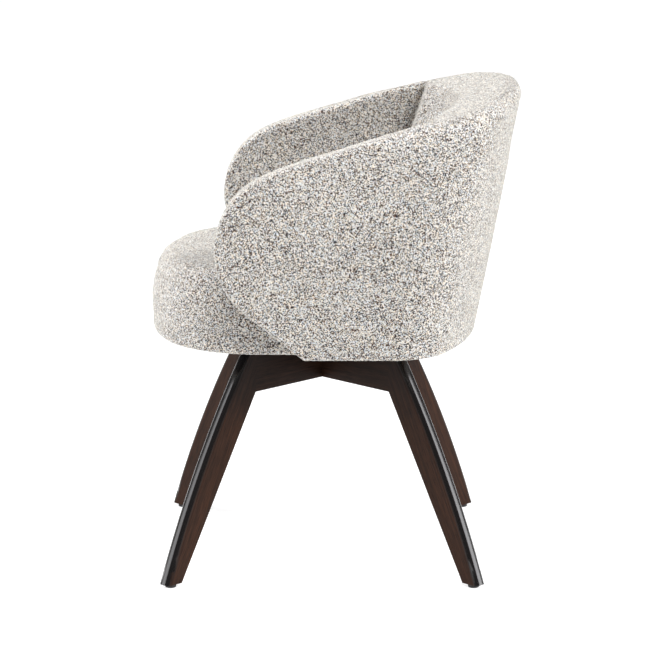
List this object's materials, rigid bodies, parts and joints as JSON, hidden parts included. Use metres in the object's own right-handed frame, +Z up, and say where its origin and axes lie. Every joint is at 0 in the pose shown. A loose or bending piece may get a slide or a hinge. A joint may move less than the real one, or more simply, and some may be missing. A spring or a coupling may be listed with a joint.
{
  "type": "swivel armchair",
  "caption": "Low upholstered tub armchair with a round crowned seat inside a curved arm-and-back wall, turning on a ball-bearing swivel over splayed dark wood legs.",
  "frame": {"origin": "floor level under the middle of the chair's overall box, slightly behind the swivel axis", "axes": "+Z up; the sitter faces -Y; +X is the sitter's left"},
  "size_m": [0.571, 0.6019, 0.787],
  "materials": {
    "boucle_fabric": "matte",
    "stained_wood": "satin",
    "dowel_wood": "matte",
    "plywood": "matte",
    "glide_plastic": "matte",
    "cage_plastic": "matte",
    "zinc_steel": "satin",
    "black_steel": "satin",
    "ball_steel": "polished",
    "dust_cloth": "matte"
  },
  "bodies": {
    "base": {"leg_front_left": "stained_wood", "leg_front_right": "stained_wood", "leg_rear_left": "stained_wood", "leg_rear_right": "stained_wood", "leg_dowels": "dowel_wood", "cross_rail_lower": "stained_wood", "cross_rail_upper": "stained_wood", "glide_front_left": "glide_plastic", "glide_front_right": "glide_plastic", "glide_rear_left": "glide_plastic", "glide_rear_right": "glide_plastic", "glide_nails": "zinc_steel", "swivel_lower_plate": "black_steel", "lower_plate_screws": "zinc_steel", "swivel_stop_pins": "zinc_steel"},
    "ball_ring": {"ball_cage": "cage_plastic", "bearing_balls": "ball_steel"},
    "seat": {"swivel_upper_plate": "black_steel", "swivel_hub": "zinc_steel", "hub_washer": "zinc_steel", "hub_clip": "zinc_steel", "swivel_stop_peg": "zinc_steel", "upper_plate_bolts": "zinc_steel", "tee_nuts": "zinc_steel", "seat_board": "plywood", "dust_cover": "dust_cloth", "seat_cushion": "boucle_fabric", "shell_frame": "plywood", "shell_bolts": "zinc_steel", "barrel_nuts": "zinc_steel", "back_upholstery": "boucle_fabric", "back_pad": "boucle_fabric"}
  },
  "joints": [
    {"name": "seat_swivel", "type": "hinge", "parent": "base", "child": "seat", "pos_m": [0, -0.0207, 0.372], "axis": [0, 0, 1], "range_deg": [-90, 90]},
    {"name": "ball_ring_roll", "type": "hinge", "parent": "base", "child": "ball_ring", "pos_m": [0, -0.0207, 0.372], "axis": [0, 0, 1], "range_deg": [-45, 45]}
  ],
  "couplings": [
    {"joint": "ball_ring_roll", "follows": "seat_swivel", "ratio": 0.5}
  ]
}
